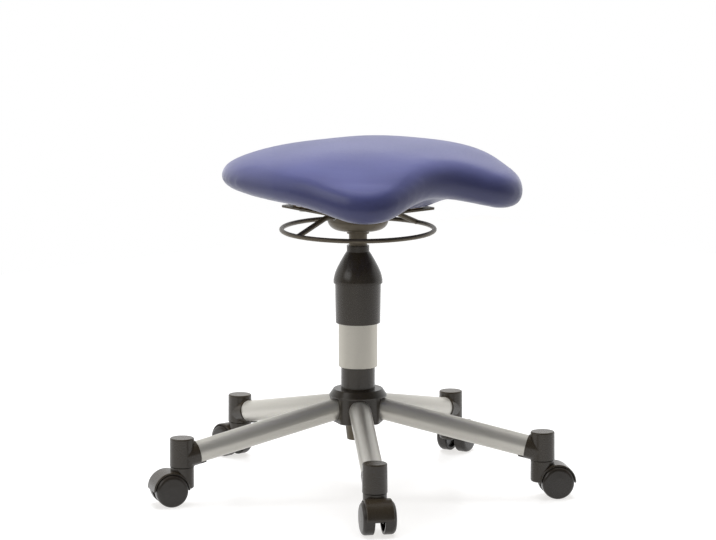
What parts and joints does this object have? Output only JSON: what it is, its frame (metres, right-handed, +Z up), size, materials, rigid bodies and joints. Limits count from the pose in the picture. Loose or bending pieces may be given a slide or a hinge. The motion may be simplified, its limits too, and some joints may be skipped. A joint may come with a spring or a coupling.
{
  "type": "swivel stool",
  "caption": "Swivel work stool with a padded saddle seat, gas lift under telescoping covers, release ring and a tube base on twin-wheel casters.",
  "frame": {"origin": "on the floor under the column's axis", "axes": "+Z up along the column; the seat's front faces -Y; +X to the right of someone facing +Y"},
  "size_m": [0.6586, 0.6335, 0.5445],
  "materials": {
    "seat_leatherette": "matte",
    "ply_board": "matte",
    "dark_metal": "satin",
    "silver_metal": "satin",
    "dark_plastic": "matte",
    "wheel_plastic": "matte",
    "bright_steel": "satin",
    "bearing_plastic": "matte"
  },
  "bodies": {
    "base": {"hub": "dark_plastic", "hub_cap": "dark_plastic", "arm_tube_1": "silver_metal", "arm_tube_2": "silver_metal", "arm_tube_3": "silver_metal", "arm_tube_4": "silver_metal", "arm_tube_5": "silver_metal", "end_socket_1": "dark_plastic", "end_socket_2": "dark_plastic", "end_socket_3": "dark_plastic", "end_socket_4": "dark_plastic", "end_socket_5": "dark_plastic", "stem_sleeves": "bearing_plastic", "arm_screws": "bright_steel", "column_tube": "dark_metal", "guide_bush": "bearing_plastic", "bearing_lower_washer": "bright_steel", "bearing_balls": "bright_steel", "ball_cage": "bearing_plastic", "lower_cover": "dark_plastic"},
    "cover_sleeve": {"middle_cover": "silver_metal"},
    "swivel_core": {"piston_rod": "bright_steel", "piston": "bearing_plastic", "bearing_upper_washer": "bright_steel", "rod_clip": "bright_steel"},
    "seat_lift": {"gas_cylinder": "dark_metal", "rod_guide": "bearing_plastic", "upper_cover": "dark_plastic", "mechanism_housing": "dark_metal", "shaft_bushes": "bearing_plastic", "seat_plate": "dark_metal", "housing_screws": "bright_steel", "seat_screws": "bright_steel", "tee_nuts": "bright_steel", "seat_board": "ply_board", "seat_cushion": "seat_leatherette"},
    "release": {"release_ring": "dark_metal", "release_cam": "dark_metal"},
    "valve": {"valve_button": "bearing_plastic"},
    "caster_1": {"caster_body_1": "dark_plastic", "caster_pins_1": "bright_steel"},
    "left_wheel_1": {"wheel_left_1": "wheel_plastic"},
    "right_wheel_1": {"wheel_right_1": "wheel_plastic"},
    "caster_2": {"caster_body_2": "dark_plastic", "caster_pins_2": "bright_steel"},
    "left_wheel_2": {"wheel_left_2": "wheel_plastic"},
    "right_wheel_2": {"wheel_right_2": "wheel_plastic"},
    "caster_3": {"caster_body_3": "dark_plastic", "caster_pins_3": "bright_steel"},
    "left_wheel_3": {"wheel_left_3": "wheel_plastic"},
    "right_wheel_3": {"wheel_right_3": "wheel_plastic"},
    "caster_4": {"caster_body_4": "dark_plastic", "caster_pins_4": "bright_steel"},
    "left_wheel_4": {"wheel_left_4": "wheel_plastic"},
    "right_wheel_4": {"wheel_right_4": "wheel_plastic"},
    "caster_5": {"caster_body_5": "dark_plastic", "caster_pins_5": "bright_steel"},
    "left_wheel_5": {"wheel_left_5": "wheel_plastic"},
    "right_wheel_5": {"wheel_right_5": "wheel_plastic"}
  },
  "joints": [
    {"name": "seat_swivel", "type": "hinge", "parent": "base", "child": "swivel_core", "pos_m": [0, 0, 0.096], "axis": [0, 0, 1], "continuous": true},
    {"name": "seat_height", "type": "slide", "parent": "swivel_core", "child": "seat_lift", "axis": [0, 0, 1], "range_m": [-0.075, 0.03]},
    {"name": "cover_slide", "type": "slide", "parent": "base", "child": "cover_sleeve", "axis": [0, 0, 1], "range_m": [-0.03, 0.012]},
    {"name": "ring_pull", "type": "hinge", "parent": "seat_lift", "child": "release", "pos_m": [0, 0, 0.43], "axis": [-1, 0, 0], "range_deg": [0, 8], "stiffness_Nm_per_rad": 3, "springref_deg": -5.73},
    {"name": "valve_press", "type": "slide", "parent": "seat_lift", "child": "valve", "axis": [0, 0, -1], "range_m": [0, 0.00095]},
    {"name": "caster_swivel_1", "type": "hinge", "parent": "base", "child": "caster_1", "pos_m": [-0.16287, -0.24055, 0.07], "axis": [0, 0, 1], "continuous": true},
    {"name": "left_wheel_spin_1", "type": "hinge", "parent": "caster_1", "child": "left_wheel_1", "pos_m": [-0.17276, -0.25908, 0.025], "axis": [0.8821, -0.471, 0], "continuous": true},
    {"name": "right_wheel_spin_1", "type": "hinge", "parent": "caster_1", "child": "right_wheel_1", "pos_m": [-0.17276, -0.25908, 0.025], "axis": [0.8821, -0.471, 0], "continuous": true},
    {"name": "caster_swivel_2", "type": "hinge", "parent": "base", "child": "caster_2", "pos_m": [0.17845, -0.22923, 0.07], "axis": [0, 0, 1], "continuous": true},
    {"name": "left_wheel_spin_2", "type": "hinge", "parent": "caster_2", "child": "left_wheel_2", "pos_m": [0.19662, -0.23976, 0.025], "axis": [0.5015, 0.8652, 0], "continuous": true},
    {"name": "right_wheel_spin_2", "type": "hinge", "parent": "caster_2", "child": "right_wheel_2", "pos_m": [0.19662, -0.23976, 0.025], "axis": [0.5015, 0.8652, 0], "continuous": true},
    {"name": "caster_swivel_3", "type": "hinge", "parent": "base", "child": "caster_3", "pos_m": [0.27315, 0.09888, 0.07], "axis": [0, 0, 1], "continuous": true},
    {"name": "left_wheel_spin_3", "type": "hinge", "parent": "caster_3", "child": "left_wheel_3", "pos_m": [0.29264, 0.10671, 0.025], "axis": [-0.373, 0.9278, 0], "continuous": true},
    {"name": "right_wheel_spin_3", "type": "hinge", "parent": "caster_3", "child": "right_wheel_3", "pos_m": [0.29264, 0.10671, 0.025], "axis": [-0.373, 0.9278, 0], "continuous": true},
    {"name": "caster_swivel_4", "type": "hinge", "parent": "base", "child": "caster_4", "pos_m": [-0.00963, 0.29034, 0.07], "axis": [0, 0, 1], "continuous": true},
    {"name": "left_wheel_spin_4", "type": "hinge", "parent": "caster_4", "child": "left_wheel_4", "pos_m": [-0.00996, 0.31134, 0.025], "axis": [-0.9999, -0.0157, 0], "continuous": true},
    {"name": "right_wheel_spin_4", "type": "hinge", "parent": "caster_4", "child": "right_wheel_4", "pos_m": [-0.00996, 0.31134, 0.025], "axis": [-0.9999, -0.0157, 0], "continuous": true},
    {"name": "caster_swivel_5", "type": "hinge", "parent": "base", "child": "caster_5", "pos_m": [-0.27911, 0.08056, 0.07], "axis": [0, 0, 1], "continuous": true},
    {"name": "left_wheel_spin_5", "type": "hinge", "parent": "caster_5", "child": "left_wheel_5", "pos_m": [-0.2987, 0.08812, 0.025], "axis": [-0.36, -0.933, 0], "continuous": true},
    {"name": "right_wheel_spin_5", "type": "hinge", "parent": "caster_5", "child": "right_wheel_5", "pos_m": [-0.2987, 0.08812, 0.025], "axis": [-0.36, -0.933, 0], "continuous": true}
  ],
  "couplings": [
    {"joint": "cover_slide", "follows": "seat_height", "ratio": 0.4},
    {"joint": "valve_press", "follows": "ring_pull", "m_per_rad": 0.0066}
  ]
}
